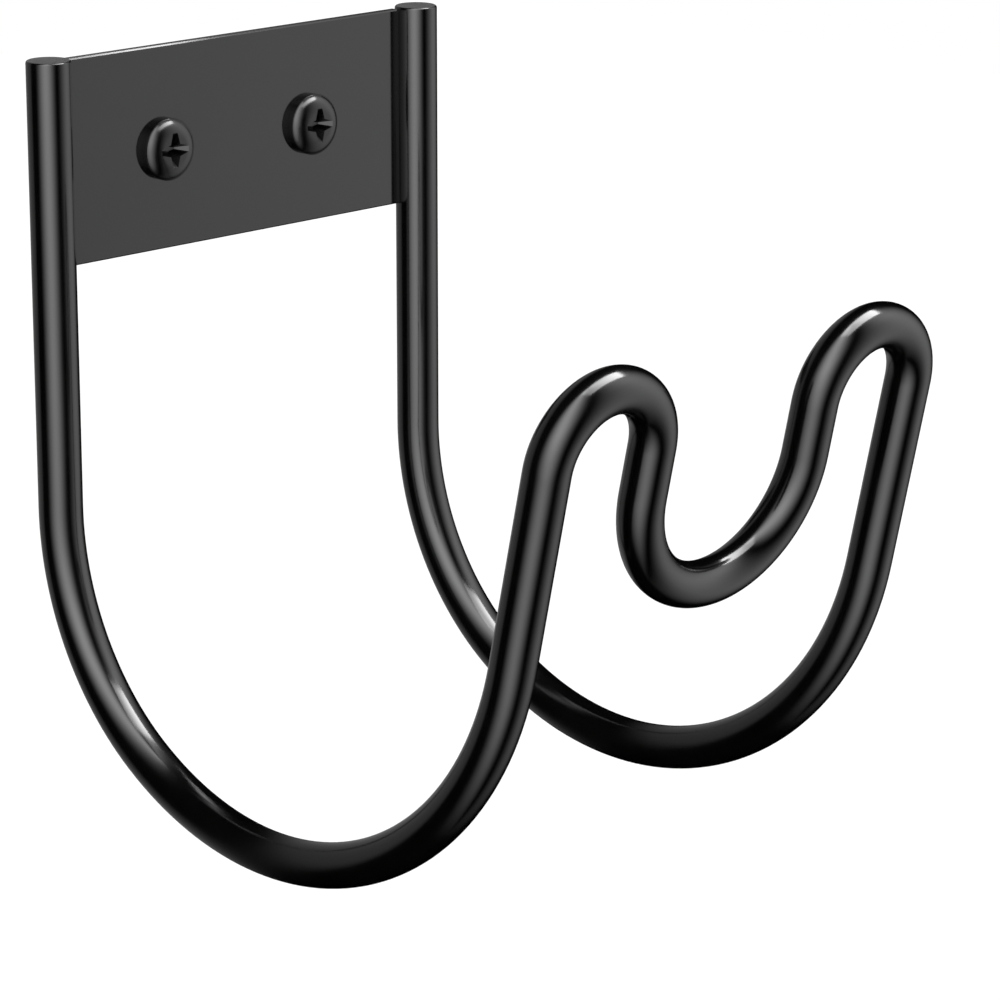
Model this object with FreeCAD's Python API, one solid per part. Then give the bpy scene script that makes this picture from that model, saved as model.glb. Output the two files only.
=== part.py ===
import FreeCAD, Part
import math
import os

# Wall hose hanger: one round steel rod bent into two saddles with raised front loops, a flat
# plate welded between its legs, and two pan head screws that hold the plate to a wall.
# Millimetres. The wall is the plane Y = 0, which the legs lie on, the front faces -Y, X runs to
# the right and Z up. The origin is on the wall, half way between the two screws.

# Rod
rod_diameter = 10.3          # 10 mm bar with its powder coat
rod_end_round = 0.6          # rounded rim of the two sawn ends
leg_spacing = 115.0          # between the axes of the two legs, and of the two front limbs
leg_length = 104.0           # straight part of a leg, from its sawn end to the first bend
leg_above_plate = 0.65       # how far the legs stand over the plate's top edge
back_bend_radius = 65.0      # first bend, away from the wall
back_bend_angle = 56.0
saddle_radius = 77.0         # wide bend that carries the load
saddle_angle = 111.5
front_limb_length = 45.0     # straight part of a front limb
crown_radius = 15.75         # round top of a front loop
inner_limb_length = 11.5     # straight part between a crown and the centre dip

# Plate
plate_height = 47.8
plate_thickness = 2.5
plate_behind_axis = 0.8      # from the axes of the legs back to the plate's front face
plate_edge_chamfer = 0.4     # broken top and bottom edges

# Weld beads
weld_end_gap = 3.9           # from the plate's corner to the end of a bead
weld_leg_on_plate = 2.2      # how far the bead reaches along X over the plate's back
weld_leg_on_rod = 2.8        # how far the bead reaches along X over the rod
weld_crown = 0.25            # bulge of the bead's free face

# Screws
screw_spacing = 45.6
screw_drop = 0.35            # from the plate's middle down to the screws
screw_diameter = 6.0         # over the thread
screw_length = 40.0          # under the head
screw_neck_diameter = 4.6    # smooth neck under the head
screw_neck_length = 3.2      # reaches past the plate's back
screw_neck_taper = 0.7       # where the neck widens to the thread
screw_point_length = 7.0
screw_point_flat = 0.8       # diameter of the blunt tip
screw_hole_clearance = 1.0   # hole in the plate, over the screw
head_diameter = 14.6
head_flank = 0.9             # straight side of the head
head_shoulder_width = 3.1    # rounded shoulder, across
head_shoulder_height = 2.8   # rounded shoulder, along the axis
recess_span = 8.2            # cross recess, tip to tip at the face
recess_wing_width = 1.6
recess_depth = 2.8
recess_floor_span = 2.8
recess_floor_width = 1.0
recess_core_diameter = 5.0   # round middle of the recess at the face

# Sizes that follow from those above
rod_radius = rod_diameter / 2
rod_axis_y = -rod_radius
plate_front = rod_axis_y + plate_behind_axis
plate_back = plate_front + plate_thickness
plate_bottom = screw_drop - plate_height / 2
plate_half_width = leg_spacing / 2 - math.sqrt(rod_radius ** 2 - plate_behind_axis ** 2)
leg_top = plate_bottom + plate_height + leg_above_plate
dip_radius = leg_spacing / 2 - 2 * crown_radius
weld_length = plate_height - 2 * weld_end_gap
head_height = head_flank + head_shoulder_height

across = FreeCAD.Vector(1, 0, 0)
into_wall = FreeCAD.Vector(0, 1, 0)
up = FreeCAD.Vector(0, 0, 1)


def straight(edges, point, heading, length):
    # Feeds the rod forward and returns its new end.
    end = point + heading * length
    edges.append(Part.LineSegment(point, end).toShape())
    return end


def bend(edges, point, heading, axis, radius, angle):
    # Bends the rod about an axis and returns its new end and heading.
    inwards = axis.cross(heading)
    centre = point + inwards * radius
    turn = math.radians(angle)
    middle = centre - inwards * (radius * math.cos(turn / 2)) + heading * (radius * math.sin(turn / 2))
    end = centre - inwards * (radius * math.cos(turn)) + heading * (radius * math.sin(turn))
    edges.append(Part.Arc(point, middle, end).toShape())
    return end, heading * math.cos(turn) + inwards * math.sin(turn)


def rod_line():
    # Centre line of the whole rod, bent in one pass from the left leg's end to the right leg's end.
    edges = []
    forward_turn = across * -1
    end = FreeCAD.Vector(-leg_spacing / 2, rod_axis_y, leg_top)
    heading = up * -1
    end = straight(edges, end, heading, leg_length)
    end, heading = bend(edges, end, heading, forward_turn, back_bend_radius, back_bend_angle)
    end, heading = bend(edges, end, heading, forward_turn, saddle_radius, saddle_angle)
    end = straight(edges, end, heading, front_limb_length)
    end, heading = bend(edges, end, heading, heading.cross(across), crown_radius, 180)
    end = straight(edges, end, heading, inner_limb_length)
    end, heading = bend(edges, end, heading, heading.cross(across), dip_radius, 180)
    end = straight(edges, end, heading, inner_limb_length)
    end, heading = bend(edges, end, heading, heading.cross(across), crown_radius, 180)
    end = straight(edges, end, heading, front_limb_length)
    end, heading = bend(edges, end, heading, across, saddle_radius, saddle_angle)
    end, heading = bend(edges, end, heading, across, back_bend_radius, back_bend_angle)
    straight(edges, end, heading, leg_length)
    return Part.Wire(edges)


def make_bent_rod():
    start = FreeCAD.Vector(-leg_spacing / 2, rod_axis_y, leg_top)
    section = Part.Wire(Part.Circle(start, up, rod_radius).toShape())
    rod = rod_line().makePipe(Part.Face(section))
    sawn_rims = [edge for edge in rod.Edges if edge.BoundBox.ZMin > leg_top - rod_end_round / 2]
    return rod.makeFillet(rod_end_round, sawn_rims)


def screw_places():
    return [FreeCAD.Vector(side * screw_spacing / 2, 0, 0) for side in (-1, 1)]


def make_mounting_plate():
    corner = FreeCAD.Vector(-plate_half_width, plate_front, plate_bottom)
    plate = Part.makeBox(2 * plate_half_width, plate_thickness, plate_height, corner)
    long_edges = [edge for edge in plate.Edges if edge.BoundBox.XLength > plate_half_width]
    plate = plate.makeChamfer(plate_edge_chamfer, long_edges)
    hole_radius = (screw_diameter + screw_hole_clearance) / 2
    for place in screw_places():
        mouth = place + into_wall * plate_front
        plate = plate.cut(Part.makeCylinder(hole_radius, plate_thickness, mouth, into_wall))
    return plate


def rod_point(x):
    # Point of the right leg's rear surface at a distance x from the middle, seen from above.
    sideways = leg_spacing / 2 - x
    return FreeCAD.Vector(x, rod_axis_y + math.sqrt(rod_radius ** 2 - sideways ** 2), 0)


def make_weld_seams():
    # Fillet bead in the corner behind the plate, drawn at the right and mirrored to the left.
    root = FreeCAD.Vector(plate_half_width, plate_front, 0)
    plate_corner = FreeCAD.Vector(plate_half_width, plate_back, 0)
    plate_toe = plate_corner - across * weld_leg_on_plate
    rod_toe = rod_point(plate_half_width + weld_leg_on_rod)
    rod_middle = rod_point(plate_half_width + weld_leg_on_rod / 2)
    free_middle = (plate_toe + rod_toe) * 0.5 + into_wall * weld_crown
    outline = Part.Wire([
        Part.LineSegment(root, plate_corner).toShape(),
        Part.LineSegment(plate_corner, plate_toe).toShape(),
        Part.Arc(plate_toe, free_middle, rod_toe).toShape(),
        Part.Arc(rod_toe, rod_middle, root).toShape(),
    ])
    bead = Part.Face(outline).extrude(up * weld_length)
    bead.translate(up * (plate_bottom + weld_end_gap))
    return Part.makeCompound([bead, bead.mirror(FreeCAD.Vector(0, 0, 0), across)])


def turned_about_screw(points_and_arcs):
    # Solid of revolution about the Y axis from a closed outline in the XY plane.
    face = Part.Face(Part.Wire(points_and_arcs))
    return face.revolve(FreeCAD.Vector(0, 0, 0), into_wall, 360)


def at_each_screw(solid):
    copies = []
    for place in screw_places():
        copy = solid.copy()
        copy.translate(place)
        copies.append(copy)
    return Part.makeCompound(copies)


def screw_blank():
    # Head, shank and point of one screw, turned about the Y axis, with no recess yet.
    head_radius = head_diameter / 2
    shank_radius = screw_diameter / 2
    neck_radius = screw_neck_diameter / 2
    neck_end = plate_front + screw_neck_length
    tip = plate_front + screw_length
    shoulder = plate_front - head_flank
    face = plate_front - head_height
    face_radius = head_radius - head_shoulder_width
    corners = [
        FreeCAD.Vector(face_radius, face, 0),
        FreeCAD.Vector(0, face, 0),
        FreeCAD.Vector(0, tip, 0),
        FreeCAD.Vector(screw_point_flat / 2, tip, 0),
        FreeCAD.Vector(shank_radius, tip - screw_point_length, 0),
        FreeCAD.Vector(shank_radius, neck_end + screw_neck_taper, 0),
        FreeCAD.Vector(neck_radius, neck_end, 0),
        FreeCAD.Vector(neck_radius, plate_front, 0),
        FreeCAD.Vector(head_radius, plate_front, 0),
        FreeCAD.Vector(head_radius, shoulder, 0),
    ]
    edges = [Part.LineSegment(start, end).toShape() for start, end in zip(corners, corners[1:])]
    dome = Part.BezierCurve()
    dome.setPoles([corners[-1], FreeCAD.Vector(head_radius, face, 0), corners[0]])
    dome.setWeight(2, math.sqrt(0.5))
    edges.append(dome.toShape())
    return turned_about_screw(edges)


def cross_recess():
    # Two crossing tapered slots with a tapered round middle.
    face = plate_front - head_height
    floor = face + recess_depth
    slot = Part.makeWedge(-recess_span / 2, face, -recess_wing_width / 2,
                          -recess_floor_width / 2, -recess_floor_span / 2,
                          recess_span / 2, floor, recess_wing_width / 2,
                          recess_floor_width / 2, recess_floor_span / 2)
    crossing = slot.copy()
    crossing.rotate(FreeCAD.Vector(0, 0, 0), into_wall, 90)
    core = Part.makeCone(recess_core_diameter / 2, recess_floor_span / 2, recess_depth,
                         FreeCAD.Vector(0, face, 0), into_wall)
    return slot.fuse([crossing, core])


def make_mounting_screws():
    return at_each_screw(screw_blank().cut(cross_recess()))


def main():
    os.makedirs("parts", exist_ok=True)
    make_bent_rod().exportStep("parts/bent_rod.step")
    make_mounting_plate().exportStep("parts/mounting_plate.step")
    make_weld_seams().exportStep("parts/weld_seams.step")
    make_mounting_screws().exportStep("parts/mounting_screws.step")


main()
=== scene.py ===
import math

import bpy
from mathutils import Matrix, Vector


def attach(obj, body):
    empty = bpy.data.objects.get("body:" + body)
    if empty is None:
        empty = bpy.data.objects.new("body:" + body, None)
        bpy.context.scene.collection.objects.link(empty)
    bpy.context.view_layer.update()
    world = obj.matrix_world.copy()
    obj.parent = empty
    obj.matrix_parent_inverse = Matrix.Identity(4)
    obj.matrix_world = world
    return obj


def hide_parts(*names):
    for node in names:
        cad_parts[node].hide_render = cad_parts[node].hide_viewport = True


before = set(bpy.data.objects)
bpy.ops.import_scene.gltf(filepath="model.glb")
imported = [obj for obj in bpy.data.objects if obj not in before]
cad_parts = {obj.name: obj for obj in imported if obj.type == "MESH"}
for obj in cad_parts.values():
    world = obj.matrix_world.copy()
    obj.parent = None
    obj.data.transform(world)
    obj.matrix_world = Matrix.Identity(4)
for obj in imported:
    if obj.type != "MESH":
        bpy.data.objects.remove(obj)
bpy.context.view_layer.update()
mm = 0.001
near = 0.01 * mm                         # points closer than this count as level
xAxis = Vector((1, 0, 0))
yAxis = Vector((0, 1, 0))
zAxis = Vector((0, 0, 1))
print("frame loaded")


# Small helpers

def editMode(kind="VERT"):
    bpy.ops.object.mode_set(mode="EDIT")
    bpy.ops.mesh.select_mode(type=kind)


def objectMode():
    bpy.ops.object.mode_set(mode="OBJECT")


def only(piece):
    # leaves this piece as the one that is selected and active
    bpy.ops.object.select_all(action="DESELECT")
    piece.select_set(True)
    bpy.context.view_layer.objects.active = piece


def select(piece, kind, test):
    # picks the vertices, edges or faces whose points all pass the test, and stays in edit mode
    editMode(kind)
    bpy.ops.mesh.select_all(action="DESELECT")
    objectMode()
    mesh = piece.data
    good = [test(vert.co) for vert in mesh.vertices]
    if kind == "VERT":
        for vert in mesh.vertices:
            vert.select = good[vert.index]
    elif kind == "EDGE":
        for edge in mesh.edges:
            edge.select = all(good[i] for i in edge.vertices)
    else:
        for face in mesh.polygons:
            face.select = all(good[i] for i in face.vertices)
    editMode(kind)


def started(name):
    # names the primitive just added and puts its place into the mesh
    piece = bpy.context.object
    piece.name = name
    piece.data.name = name
    bpy.ops.object.transform_apply(location=True, rotation=True, scale=True)
    return piece


def applied(piece, name, kind, **settings):
    # adds one modifier and applies it
    only(piece)
    modifier = piece.modifiers.new(name, kind)
    for key, value in settings.items():
        setattr(modifier, key, value)
    bpy.ops.object.modifier_apply(modifier=name)


def cutBy(piece, cutter):
    applied(piece, "cut", "BOOLEAN", operation="DIFFERENCE", object=cutter, solver="EXACT")
    bpy.data.objects.remove(cutter)


def cleaned(piece, mergeAt=0.005 * mm, sharpAngle=35):
    # closes the seams, turns all faces outward and smooths the round ones
    only(piece)
    editMode()
    bpy.ops.mesh.select_all(action="SELECT")
    bpy.ops.mesh.remove_doubles(threshold=mergeAt)
    bpy.ops.mesh.normals_make_consistent(inside=False)
    objectMode()
    bpy.ops.object.shade_smooth_by_angle(angle=math.radians(sharpAngle))


# Bent rod, drawn like on the bending bench: a ring fed forward and bent about one axis after another

rod = {
    "radius": 5.15 * mm,                 # 10 mm bar with its coat
    "legSpacing": 115 * mm,
    "legTop": 24.9 * mm,
    "legLength": 104 * mm,
    "backBend": (65 * mm, 56, 28),       # radius, degrees, steps
    "saddle": (77 * mm, 111.5, 56),
    "frontLimb": 45 * mm,
    "crown": (15.75 * mm, 180, 60),
    "innerLimb": 11.5 * mm,
    "dip": (26 * mm, 180, 72),
    "ringPoints": 64,
    "rim": 0.6 * mm,                     # rounded edge of the sawn ends
    "rimSteps": 5,
}


def feed(point, heading, length):
    bpy.ops.mesh.extrude_edges_move(TRANSFORM_OT_translate={"value": heading * length})
    return point + heading * length


def bend(point, heading, axis, shape):
    radius, degrees, steps = shape
    inward = axis.cross(heading)
    middle = point + inward * radius
    angle = math.radians(degrees)
    bpy.ops.mesh.spin(steps=steps, angle=-angle, center=middle, axis=axis)   # spin turns the other way round
    turn = Matrix.Rotation(angle, 3, axis)
    return middle + turn @ (point - middle), turn @ heading


def makeBentRod():
    place = Vector((-rod["legSpacing"] / 2, -rod["radius"], rod["legTop"]))
    bpy.ops.mesh.primitive_circle_add(vertices=rod["ringPoints"], radius=rod["radius"], location=place)
    piece = started("bentRod")
    editMode()
    bpy.ops.mesh.select_all(action="SELECT")
    heading = -zAxis
    place = feed(place, heading, rod["legLength"])
    place, heading = bend(place, heading, -xAxis, rod["backBend"])
    place, heading = bend(place, heading, -xAxis, rod["saddle"])
    place = feed(place, heading, rod["frontLimb"])
    place, heading = bend(place, heading, heading.cross(xAxis), rod["crown"])
    place = feed(place, heading, rod["innerLimb"])
    place, heading = bend(place, heading, heading.cross(xAxis), rod["dip"])
    place = feed(place, heading, rod["innerLimb"])
    place, heading = bend(place, heading, heading.cross(xAxis), rod["crown"])
    place = feed(place, heading, rod["frontLimb"])
    place, heading = bend(place, heading, xAxis, rod["saddle"])
    place, heading = bend(place, heading, xAxis, rod["backBend"])
    place = feed(place, heading, rod["legLength"])
    objectMode()
    print("rod ends at", [round(value / mm, 3) for value in place])
    for side in (-1, 1):
        select(piece, "EDGE", lambda co: co.z > rod["legTop"] - near and co.x * side > 0)
        bpy.ops.mesh.edge_face_add()
        bpy.ops.mesh.bevel(offset=rod["rim"], segments=rod["rimSteps"], affect="EDGES")
        objectMode()
    cleaned(piece)
    return piece


bentRod = makeBentRod()
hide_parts("bent_rod")
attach(bentRod, "root")
print("rod bent")


# Mounting plate between the legs

plate = {
    "halfWidth": 52.413 * mm,
    "front": -4.35 * mm,
    "back": -1.85 * mm,
    "bottom": -23.55 * mm,
    "top": 24.25 * mm,
    "chamfer": 0.3 * mm,
    "screwX": 22.8 * mm,
    "holeRadius": 3.5 * mm,
    "holePoints": 64,
    "drillLength": 10 * mm,              # passes the plate on both sides
}


def makePlate():
    size = (2 * plate["halfWidth"], plate["back"] - plate["front"], plate["top"] - plate["bottom"])
    middle = (0, (plate["front"] + plate["back"]) / 2, (plate["bottom"] + plate["top"]) / 2)
    bpy.ops.mesh.primitive_cube_add(size=1, location=middle, scale=size)
    piece = started("mountingPlate")
    for level in (plate["bottom"], plate["top"]):
        for face in (plate["front"], plate["back"]):
            select(piece, "EDGE", lambda co: abs(co.z - level) < near and abs(co.y - face) < near)
            bpy.ops.mesh.bevel(offset=plate["chamfer"], segments=1, affect="EDGES")
            objectMode()
    for side in (-1, 1):
        bpy.ops.mesh.primitive_cylinder_add(vertices=plate["holePoints"], radius=plate["holeRadius"],
                                            depth=plate["drillLength"],
                                            location=(side * plate["screwX"], plate["front"], 0),
                                            rotation=(math.pi / 2, 0, 0))
        cutBy(piece, started("holeCutter"))
    cleaned(piece)
    applied(piece, "flat faces", "WEIGHTED_NORMAL", keep_sharp=True)
    return piece


mountingPlate = makePlate()
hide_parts("mounting_plate")
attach(mountingPlate, "root")
print("plate cut")


# Weld beads behind the plate, with the ripples of a hand-laid seam

weld = {
    "middle": (52.71 * mm, -1.3 * mm),   # x and y of the bead's core
    "long": 2.7 * mm,                    # half the bead's breadth, along the slope from plate to leg
    "short": 0.75 * mm,
    "slopeBack": 1.22 * mm,              # how far the slope runs back
    "slopeAcross": 5.0 * mm,             # on its way across
    "bottom": -19.65 * mm,
    "top": 20.35 * mm,
    "ripple": 1.6 * mm,                  # from ripple to ripple
    "swell": 0.06,                       # how much broader a ripple's crest is
    "endBreadth": 0.55,                  # share of the full breadth at both ends
    "endLength": 2 * mm,                 # over which a bead reaches its full breadth
    "ringPoints": 40,
    "legPoints": 128,                    # ring of the leg that the bead is fitted to
}


def makeWeld():
    x, y = weld["middle"]
    foot = (x, y, weld["bottom"])
    breadth = weld["endBreadth"]
    slope = math.atan2(weld["slopeBack"], weld["slopeAcross"])
    bpy.ops.mesh.primitive_circle_add(vertices=weld["ringPoints"], radius=weld["long"] * breadth,
                                      location=foot)
    piece = started("weldSeams")
    editMode()
    bpy.ops.mesh.select_all(action="SELECT")
    bpy.ops.transform.resize(value=(1, weld["short"] / weld["long"], 1), center_override=foot)
    bpy.ops.transform.rotate(value=-slope, orient_axis="Z", center_override=foot)
    bpy.ops.mesh.edge_face_add()
    length = weld["top"] - weld["bottom"]
    slices = 2 * round(length / weld["ripple"])
    for k in range(1, slices + 1):
        bpy.ops.mesh.extrude_edges_move(TRANSFORM_OT_translate={"value": zAxis * (length / slices)})
        toEnd = min(k, slices - k) / slices * length
        grown = math.sqrt(min(1, toEnd / weld["endLength"]))
        nextBreadth = weld["endBreadth"] + (1 - weld["endBreadth"]) * grown
        nextBreadth *= 1 + weld["swell"] * (k % 2)
        factor = nextBreadth / breadth
        breadth = nextBreadth
        bpy.ops.transform.resize(value=(factor, factor, 1),
                                 center_override=(x, y, weld["bottom"] + k * length / slices))
    bpy.ops.mesh.edge_face_add()
    objectMode()
    height = 2 * (plate["top"] - plate["bottom"])        # both cutters pass the bead's ends
    thickness = plate["back"] - plate["front"]
    bpy.ops.mesh.primitive_cube_add(size=1, location=(0, (plate["front"] + plate["back"]) / 2, 0),
                                    scale=(2 * plate["halfWidth"], thickness, height))
    cutBy(piece, started("plateCutter"))
    bpy.ops.mesh.primitive_cylinder_add(vertices=weld["legPoints"], radius=rod["radius"], depth=height,
                                        location=(rod["legSpacing"] / 2, -rod["radius"], 0))
    cutBy(piece, started("legCutter"))
    applied(piece, "other seam", "MIRROR", use_axis=(True, False, False))
    cleaned(piece, sharpAngle=50)
    return piece


weldSeams = makeWeld()
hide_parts("weld_seams")
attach(weldSeams, "root")
print("seams laid")


# Screws: pan head with a cross recess, smooth neck, coarse thread and a point

screw = {
    "seat": plate["front"],
    "headRadius": 7.3 * mm,
    "headHeight": 3.7 * mm,
    "flank": 1.7 * mm,                   # straight side
    "corner": 0.15 * mm,                 # narrow ring under the dome that keeps its edge crisp
    "domeWidth": 4.1 * mm,               # half axes of the dome's ellipse
    "domeHeight": 2.91 * mm,
    "domeSteps": 14,
    "neckRadius": 2.3 * mm,
    "neckEnd": -1.15 * mm,
    "neckTaper": 0.7 * mm,               # from the neck down to the core
    "coreRadius": 2.1 * mm,
    "pointStart": 28.65 * mm,
    "tip": 35.65 * mm,
    "tipRadius": 0.4 * mm,
    "ringPoints": 72,
    "crestRadius": 3.0 * mm,
    "pitch": 2.6 * mm,
    "threadSteps": 40,                   # to one turn
    "threadAfterNeck": 0.4 * mm,
    "threadBeforeTip": 1.0 * mm,
    "ridgeSunk": 0.25 * mm,              # how deep the ridge's foot sits in the core
    "ridgeShort": 0.02 * mm,             # how far its crest stays inside the full radius
    "ridgeFoot": 0.75 * mm,              # half its width at the foot
    "ridgeCrest": 0.06 * mm,             # and at the crest
    "pointSlices": 28,                   # steps in which the ridge narrows to the tip
    "runInSlices": 12,                   # steps in which it grows out of the neck
    "runInSlice": 0.2 * mm,
    "runInBefore": 0.8 * mm,
    "runInFrom": 0.68,                   # share of its radius to begin with
    "recessSpan": 8.2 * mm,
    "recessWing": 1.4 * mm,              # at a wing's tip
    "recessMiddle": 3.6 * mm,            # where the wings meet
    "recessDepth": 2.8 * mm,
    "recessFloorSpan": 3.6 * mm,
    "recessFloorWing": 0.4 * mm,
    "cutterOver": 1 * mm,                # how far the recess cutter stands over the face
}


def lathe(points):
    # grows the selected ring along y through (radius, along) points by extruding and resizing it
    radius, along = points[0]
    for nextRadius, nextAlong in points[1:]:
        bpy.ops.mesh.extrude_edges_move(TRANSFORM_OT_translate={"value": yAxis * (nextAlong - along)})
        factor = nextRadius / radius
        bpy.ops.transform.resize(value=(factor, 1, factor), center_override=yAxis * nextAlong)
        radius, along = nextRadius, nextAlong


def headPoints():
    # (radius, along) from the flat face over the dome and down the straight side to the seat
    face = screw["seat"] - screw["headHeight"]
    domeTurn = math.acos(1 - (screw["headHeight"] - screw["flank"]) / screw["domeHeight"])
    flat = screw["headRadius"] - screw["domeWidth"] * math.sin(domeTurn)
    points = []
    for k in range(screw["domeSteps"] + 1):
        turn = domeTurn * k / screw["domeSteps"]
        points.append((flat + screw["domeWidth"] * math.sin(turn),
                       face + screw["domeHeight"] * (1 - math.cos(turn))))
    points.append((screw["headRadius"], screw["seat"] - screw["flank"] + screw["corner"]))
    points.append((screw["headRadius"], screw["seat"]))
    return points


def shankPoints():
    return [
        (screw["neckRadius"], screw["seat"]),
        (screw["neckRadius"], screw["neckEnd"]),
        (screw["coreRadius"], screw["neckEnd"] + screw["neckTaper"]),
        (screw["coreRadius"], screw["pointStart"]),
        (screw["tipRadius"], screw["tip"]),
    ]


def drawnIn(piece, low, high, factor):
    # brings one slice of the thread closer to the axis
    select(piece, "VERT", lambda co: low <= co.y < high)
    bpy.ops.transform.resize(value=(factor, 1, factor), center_override=(0, low, 0))
    objectMode()


def makeThread():
    # the ridge's outline, wound along the core by the Screw modifier
    start = screw["neckEnd"] + screw["threadAfterNeck"]
    turns = (screw["tip"] - screw["threadBeforeTip"] - start) / screw["pitch"]
    steps = round(screw["threadSteps"] * turns)
    inside = screw["coreRadius"] - screw["ridgeSunk"]
    reach = screw["crestRadius"] - screw["ridgeShort"]
    outline = [(inside, -screw["ridgeFoot"]), (reach, -screw["ridgeCrest"]),
               (reach, screw["ridgeCrest"]), (inside, screw["ridgeFoot"])]
    bpy.ops.mesh.primitive_plane_add(size=1)
    ridge = bpy.context.object
    corners = [ridge.data.vertices[i] for i in (0, 1, 3, 2)]     # round the plane's edge
    for corner, (radius, along) in zip(corners, outline):
        corner.co = (radius, 0, along)
    applied(ridge, "wind", "SCREW", axis="Z", angle=2 * math.pi * turns,
            screw_offset=screw["pitch"] * turns, iterations=1, steps=steps,
            render_steps=steps, use_smooth_shade=True)
    ridge.rotation_euler = (-math.pi / 2, 0, 0)
    ridge.location = (0, start, 0)
    piece = started("thread")
    editMode()
    bpy.ops.mesh.select_all(action="SELECT")
    bpy.ops.mesh.fill_holes(sides=len(outline))                  # caps the ridge's two ends
    objectMode()
    length = screw["tip"] - screw["pointStart"]
    slices = screw["pointSlices"]
    for k in range(slices):
        low = screw["pointStart"] + length * k / slices
        share = 1 - (k + 0.5) / slices
        radius = screw["tipRadius"] + (screw["crestRadius"] - screw["tipRadius"]) * share
        drawnIn(piece, low, low + length / slices, radius / screw["crestRadius"])
    slices = screw["runInSlices"]
    for k in range(slices):
        low = start - screw["runInBefore"] + screw["runInSlice"] * k
        grown = screw["runInFrom"] + (1 - screw["runInFrom"]) * (k + 1) / slices
        drawnIn(piece, low, low + screw["runInSlice"], grown)
    return piece


def recessCutter(across):
    # tapered slot, wide at the face and narrow at the floor, broadest where the wings meet
    face = screw["seat"] - screw["headHeight"]
    middle = face + screw["recessDepth"] / 2
    bpy.ops.mesh.primitive_cube_add(size=1, location=(0, middle, 0),
                                    scale=(screw["recessSpan"], screw["recessDepth"], screw["recessWing"]))
    cutter = started("recessCutter")
    select(cutter, "FACE", lambda co: co.y > middle)
    bpy.ops.transform.resize(value=(screw["recessFloorSpan"] / screw["recessSpan"], 1,
                                    screw["recessFloorWing"] / screw["recessWing"]))
    select(cutter, "FACE", lambda co: co.y < middle)
    bpy.ops.mesh.extrude_region_move(TRANSFORM_OT_translate={"value": (0, -screw["cutterOver"], 0)})
    bpy.ops.mesh.select_all(action="SELECT")
    bpy.ops.mesh.bisect(plane_co=(0, face, 0), plane_no=(1, 0, 0))
    select(cutter, "VERT", lambda co: abs(co.x) < near)
    bpy.ops.transform.resize(value=(1, 1, screw["recessMiddle"] / screw["recessWing"]),
                             center_override=(0, face, 0))
    bpy.ops.mesh.select_all(action="SELECT")
    if across:
        bpy.ops.transform.rotate(value=math.pi / 2, orient_axis="Y", center_override=(0, face, 0))
    objectMode()
    return cutter


def makeScrew():
    points = headPoints()
    faceRadius, face = points[0]
    bpy.ops.mesh.primitive_circle_add(vertices=screw["ringPoints"], radius=faceRadius,
                                      location=(0, face, 0), rotation=(math.pi / 2, 0, 0))
    piece = started("mountingScrewLeft")
    editMode()
    bpy.ops.mesh.select_all(action="SELECT")
    bpy.ops.mesh.edge_face_add()
    lathe(points + shankPoints())
    bpy.ops.mesh.edge_face_add()
    objectMode()
    cleaned(piece)
    for across in (False, True):
        cutBy(piece, recessCutter(across))
    thread = makeThread()
    only(piece)
    thread.select_set(True)
    bpy.ops.object.join()
    cleaned(piece)
    return piece


screwLeft = makeScrew()
only(screwLeft)
bpy.ops.object.duplicate(linked=False)
screwRight = bpy.context.object
screwRight.name = "mountingScrewRight"
screwRight.data.name = "mountingScrewRight"
for piece, side in ((screwLeft, -1), (screwRight, 1)):
    only(piece)
    piece.location.x = side * plate["screwX"]
    bpy.ops.object.transform_apply(location=True, rotation=True, scale=True)
    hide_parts("mounting_screws")
    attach(piece, "root")
print("screws driven")


# Finishes

def fromHex(code):
    # sRGB hex to the linear colour that Blender works in
    parts = [int(code[i:i + 2], 16) / 255 for i in (1, 3, 5)]
    linear = [part / 12.92 if part <= 0.04045 else ((part + 0.055) / 1.055) ** 2.4 for part in parts]
    return (*linear, 1)


def grey(value):
    return (value, value, value, 1)


def node(tree, kind, settings=None, inputs=None, stops=()):
    # adds one node, sets its properties, links or sets its inputs, and sets the stops of a ramp
    made = tree.nodes.new(kind)
    for key, value in (settings or {}).items():
        setattr(made, key, value)
    for key, value in (inputs or {}).items():
        if isinstance(value, bpy.types.NodeSocket):
            tree.links.new(value, made.inputs[key])
        else:
            made.inputs[key].default_value = value
    if stops:
        elements = made.color_ramp.elements
        while len(elements) < len(stops):
            elements.new(0.5)
        for element, (place, color) in zip(elements, stops):
            element.position = place
            element.color = color
    return made


def newTree(name):
    material = bpy.data.materials.new(name)
    material.use_nodes = True
    material.node_tree.nodes.clear()
    return material, material.node_tree


# what the three coats share
film = {
    "cloudDetail": 3.0,
    "peelDetail": 1.0,
    "darkAt": 0.35, "lightAt": 0.65,     # where the clouds are darkest and lightest
    "smoothAt": 0.3, "roughAt": 0.7,     # where they are glossiest and dullest
}

# powder paint, sprayed on and baked: deep black, with long clean highlights
rodFinish = {
    "dark": "#030303", "light": "#050505",
    "smooth": 0.14, "rough": 0.17,
    # end tops: the paler grey is a painted sheen for the light the tops catch; the film is also duller there
    "sawn": "#545454", "sawnRough": 0.5,
    "sawnAbove": 24.75 * mm, "sawnBand": 0.1 * mm,
    "ior": 1.52,             # cured epoxy polyester
    "cloud": 14 * mm,        # slow change of gloss along the bar
    "peel": 2.5 * mm,        # orange peel of a thick coat
    "wave": 0.002 * mm,
}
# the same kind of paint on the flat: a little paler, with one broad even sheen
plateFinish = {
    "dark": "#0a0a0a", "light": "#0d0d0d",
    "smooth": 0.09, "rough": 0.11,
    "ior": 1.52,
    "cloud": 18 * mm,
    "peel": 2.5 * mm,
    "wave": 0.002 * mm,
}
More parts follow.
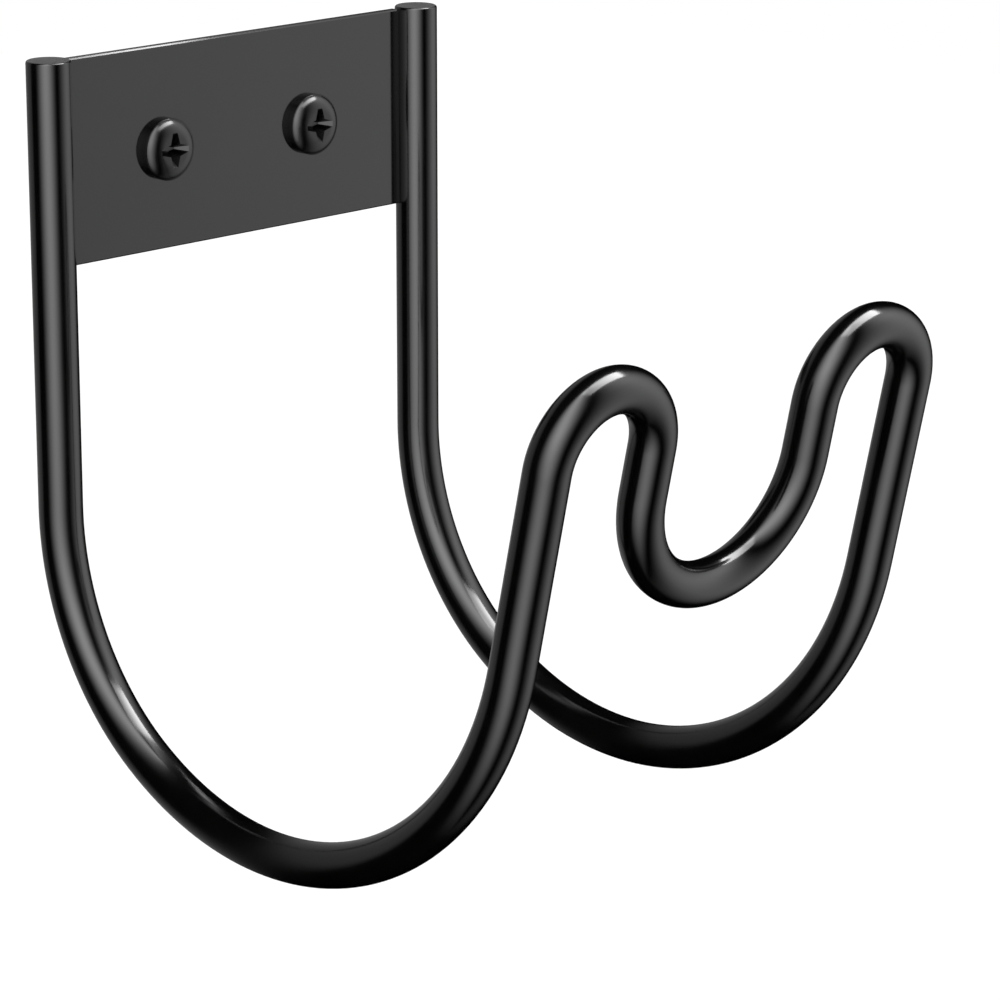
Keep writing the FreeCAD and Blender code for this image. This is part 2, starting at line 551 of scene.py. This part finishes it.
# steel blackened in a phosphate bath and oiled: black, with a small soft light on the dome
screwFinish = {
    "dark": "#030303", "light": "#050505",
    "smooth": 0.18, "rough": 0.22,
    "ior": 1.46,             # oil film over the phosphate
    "cloud": 4 * mm,
    "peel": 0.8 * mm,        # thin coat, finer skin
    "wave": 0.001 * mm,
}


def blackCoat(name, finish):
    # even dark film on steel: its gloss drifts in clouds and its skin is a little wavy, like orange peel
    material, tree = newTree(name)
    coords = node(tree, "ShaderNodeTexCoord").outputs["Object"]
    cloud = node(tree, "ShaderNodeTexNoise", inputs={
        "Vector": coords, "Scale": 1 / finish["cloud"], "Detail": film["cloudDetail"]}).outputs["Fac"]
    peel = node(tree, "ShaderNodeTexNoise", inputs={
        "Vector": coords, "Scale": 1 / finish["peel"], "Detail": film["peelDetail"]}).outputs["Fac"]
    color = node(tree, "ShaderNodeValToRGB", inputs={"Fac": cloud}, stops=[
        (film["darkAt"], fromHex(finish["dark"])),
        (film["lightAt"], fromHex(finish["light"]))]).outputs["Color"]
    rough = node(tree, "ShaderNodeValToRGB", inputs={"Fac": cloud}, stops=[
        (film["smoothAt"], grey(finish["smooth"])),
        (film["roughAt"], grey(finish["rough"]))]).outputs["Color"]
    bump = node(tree, "ShaderNodeBump", inputs={
        "Strength": 1.0, "Distance": finish["wave"], "Height": peel})
    if "sawn" in finish:
        # the two end tops get a paler grey, which is a painted sheen for the light they catch, and a duller
        # film
        level = node(tree, "ShaderNodeSeparateXYZ", inputs={"Vector": coords}).outputs["Z"]
        sawn = node(tree, "ShaderNodeMapRange", inputs={
            "Value": level, "From Min": finish["sawnAbove"],
            "From Max": finish["sawnAbove"] + finish["sawnBand"]}).outputs["Result"]
        rough = node(tree, "ShaderNodeMapRange", inputs={
            "Value": sawn, "To Min": rough, "To Max": finish["sawnRough"]}).outputs["Result"]
        color = node(tree, "ShaderNodeMixRGB", inputs={
            "Fac": sawn, "Color1": color, "Color2": fromHex(finish["sawn"])}).outputs["Color"]
    shader = node(tree, "ShaderNodeBsdfPrincipled", inputs={
        "Base Color": color, "Roughness": rough, "IOR": finish["ior"], "Normal": bump.outputs["Normal"]})
    node(tree, "ShaderNodeOutputMaterial", inputs={"Surface": shader.outputs["BSDF"]})
    return material


rodCoat = blackCoat("gloss black powder coat", rodFinish)
plateCoat = blackCoat("satin black powder coat", plateFinish)
screwCoat = blackCoat("oiled black phosphate on screw steel", screwFinish)
for piece, material in ((bentRod, rodCoat), (weldSeams, rodCoat), (mountingPlate, plateCoat),
                        (screwLeft, screwCoat), (screwRight, screwCoat)):
    piece.data.materials.clear()
    piece.data.materials.append(material)
print("finishes set")


# Studio: white room with two tall soft strips and a dim back for the gloss, a roof lamp and a pale floor

studio = {
    "keyStrip": {
        "azimuth": -54, "reach": 54,     # degrees from straight ahead, and to each side of that
        "light": 5.5,
        "heights": [(0.0, 0.02), (0.02, 0.06), (0.08, 0.22), (0.15, 0.4),     # floor to roof, share of light
                    (0.29, 0.6), (0.42, 0.7), (0.67, 1.0), (1.0, 1.0)],
    },
    "rightStrip": {
        "azimuth": 55, "reach": 52,
        "light": 2.4,
        "heights": [(0.0, 0.04), (0.05, 0.12), (0.11, 0.23), (0.23, 0.42),
                    (0.42, 0.62), (0.67, 0.85), (0.77, 1.0), (1.0, 1.0)],
    },
    "backLight": 0.33,
    "backFrom": 0.66, "backFull": 0.82,  # how straight to the back a direction points
    "fill": 1.0,
    "roofCentre": (130 * mm, -262 * mm, 422 * mm),
    "roofSize": (475 * mm, 254 * mm),
    "roofLight": 18, "roofDim": 0.25, "roofTurn": 15,
    "floorHeight": -600 * mm,
    "floorSize": 6000 * mm,
    "floorDark": "#ececec", "floorLight": "#f2f2f2",
    "floorDarkAt": 0.3, "floorLightAt": 0.7,
    "floorCloud": 500 * mm,
    "floorLift": 0.2,
    "cameraPlace": (-657.34 * mm, -744.38 * mm, 181.95 * mm),
    "cameraTurn": -45.181, "cameraTilt": 15.336,
    "lens": 152.87, "sensor": 36,
}


def stripLight(tree, azimuth, height, strip):
    # brightness of one soft strip: round fall-off to both sides, its own curve from floor to roof
    aside = node(tree, "ShaderNodeMath", {"operation": "SUBTRACT"},
                 {0: azimuth, 1: math.radians(strip["azimuth"])})
    away = node(tree, "ShaderNodeMath", {"operation": "ABSOLUTE"}, {0: aside.outputs[0]})
    soft = node(tree, "ShaderNodeMapRange", {"interpolation_type": "SMOOTHSTEP"},
                {"Value": away.outputs[0], "From Min": 0.0, "From Max": math.radians(strip["reach"]),
                 "To Min": strip["light"], "To Max": 0.0})
    tall = node(tree, "ShaderNodeValToRGB", inputs={"Fac": height},
                stops=[(place, grey(share)) for place, share in strip["heights"]])
    lit = node(tree, "ShaderNodeMath", {"operation": "MULTIPLY"},
               {0: soft.outputs["Result"], 1: tall.outputs["Color"]})
    return lit.outputs[0]


def lightRoom():
    world = bpy.data.worlds.new("white studio")
    bpy.context.scene.world = world
    world.use_nodes = True
    tree = world.node_tree
    tree.nodes.clear()
    toward = node(tree, "ShaderNodeTexCoord").outputs["Generated"]
    parts = node(tree, "ShaderNodeSeparateXYZ", inputs={"Vector": toward})
    front = node(tree, "ShaderNodeMath", {"operation": "MULTIPLY"}, {0: parts.outputs["Y"], 1: -1.0})
    azimuth = node(tree, "ShaderNodeMath", {"operation": "ARCTAN2"},
                   {0: parts.outputs["X"], 1: front.outputs[0]}).outputs[0]
    height = node(tree, "ShaderNodeMapRange", inputs={"Value": parts.outputs["Z"], "From Min": -1.0,
                                                      "From Max": 1.0}).outputs["Result"]
    key = stripLight(tree, azimuth, height, studio["keyStrip"])
    right = stripLight(tree, azimuth, height, studio["rightStrip"])
    behind = node(tree, "ShaderNodeMapRange", {"interpolation_type": "SMOOTHSTEP"},
                  {"Value": parts.outputs["Y"], "From Min": studio["backFrom"],
                   "From Max": studio["backFull"], "To Min": 0.0, "To Max": studio["backLight"]})
    strips = node(tree, "ShaderNodeMath", {"operation": "ADD"}, {0: key, 1: right})
    room = node(tree, "ShaderNodeMath", {"operation": "ADD"},
                {0: strips.outputs[0], 1: behind.outputs["Result"]})
    rays = node(tree, "ShaderNodeLightPath")
    mirrored = node(tree, "ShaderNodeBackground", inputs={"Color": grey(1.0), "Strength": room.outputs[0]})
    soft = node(tree, "ShaderNodeBackground", inputs={"Color": grey(1.0), "Strength": studio["fill"]})
    white = node(tree, "ShaderNodeBackground", inputs={"Color": grey(1.0), "Strength": 1.0})
    lit = node(tree, "ShaderNodeMixShader", inputs={0: rays.outputs["Is Glossy Ray"], 1: soft.outputs[0],
                                                    2: mirrored.outputs[0]})
    shown = node(tree, "ShaderNodeMixShader", inputs={0: rays.outputs["Is Camera Ray"], 1: lit.outputs[0],
                                                      2: white.outputs[0]})
    node(tree, "ShaderNodeOutputWorld", inputs={"Surface": shown.outputs[0]})


def hangRoofLamp():
    # only the gloss sees it, so that it doesn't wash out the colours
    width, depth = studio["roofSize"]
    bpy.ops.object.light_add(type="AREA", location=studio["roofCentre"],
                             rotation=(0, 0, math.radians(studio["roofTurn"])))
    lamp = bpy.context.object
    lamp.name = "roofLamp"
    lamp.data.shape = "RECTANGLE"
    lamp.data.size = width
    lamp.data.size_y = depth
    lamp.data.energy = studio["roofLight"] * math.pi * width * depth     # from brightness to watts
    lamp.visible_camera = False
    lamp.visible_diffuse = False
    lamp.data.use_nodes = True
    tree = lamp.data.node_tree
    tree.nodes.clear()
    across = node(tree, "ShaderNodeNewGeometry").outputs["Parametric"]
    along = node(tree, "ShaderNodeSeparateXYZ", inputs={"Vector": across}).outputs["X"]
    graded = node(tree, "ShaderNodeMapRange", inputs={
        "Value": along, "To Min": studio["roofDim"], "To Max": 1.0})
    glow = node(tree, "ShaderNodeEmission", inputs={"Strength": graded.outputs["Result"]})
    node(tree, "ShaderNodeOutputLight", inputs={"Surface": glow.outputs[0]})


def layFloor():
    # matt white paint, faintly cloudy; the camera sees it lifted to white, and the shadow stays
    bpy.ops.mesh.primitive_plane_add(size=studio["floorSize"], location=(0, 0, studio["floorHeight"]))
    floor = started("floor")
    material, tree = newTree("pale studio floor")
    coords = node(tree, "ShaderNodeTexCoord").outputs["Object"]
    cloud = node(tree, "ShaderNodeTexNoise", inputs={"Vector": coords, "Scale": 1 / studio["floorCloud"]})
    color = node(tree, "ShaderNodeValToRGB", inputs={"Fac": cloud.outputs["Fac"]}, stops=[
        (studio["floorDarkAt"], fromHex(studio["floorDark"])),
        (studio["floorLightAt"], fromHex(studio["floorLight"]))]).outputs["Color"]
    rays = node(tree, "ShaderNodeLightPath")
    matt = node(tree, "ShaderNodeBsdfDiffuse", inputs={"Color": color})
    lift = node(tree, "ShaderNodeEmission", inputs={"Strength": studio["floorLift"]})
    white = node(tree, "ShaderNodeAddShader", inputs={0: matt.outputs[0], 1: lift.outputs[0]})
    mixed = node(tree, "ShaderNodeMixShader", inputs={0: rays.outputs["Is Camera Ray"], 1: matt.outputs[0],
                                                      2: white.outputs[0]})
    node(tree, "ShaderNodeOutputMaterial", inputs={"Surface": mixed.outputs[0]})
    floor.data.materials.append(material)
    floor.visible_glossy = False


def setCamera():
    turn = math.radians(studio["cameraTurn"])
    tilt = math.radians(studio["cameraTilt"])
    bpy.ops.object.camera_add(location=studio["cameraPlace"], rotation=(math.pi / 2 - tilt, 0, turn))
    camera = bpy.context.object
    camera.name = "photoCamera"
    camera.data.lens = studio["lens"]
    camera.data.sensor_width = studio["sensor"]
    camera.data.dof.use_dof = False
    bpy.context.scene.camera = camera


lightRoom()
hangRoofLamp()
layFloor()
setCamera()
bpy.context.scene.view_settings.view_transform = "Standard"
print("studio ready")
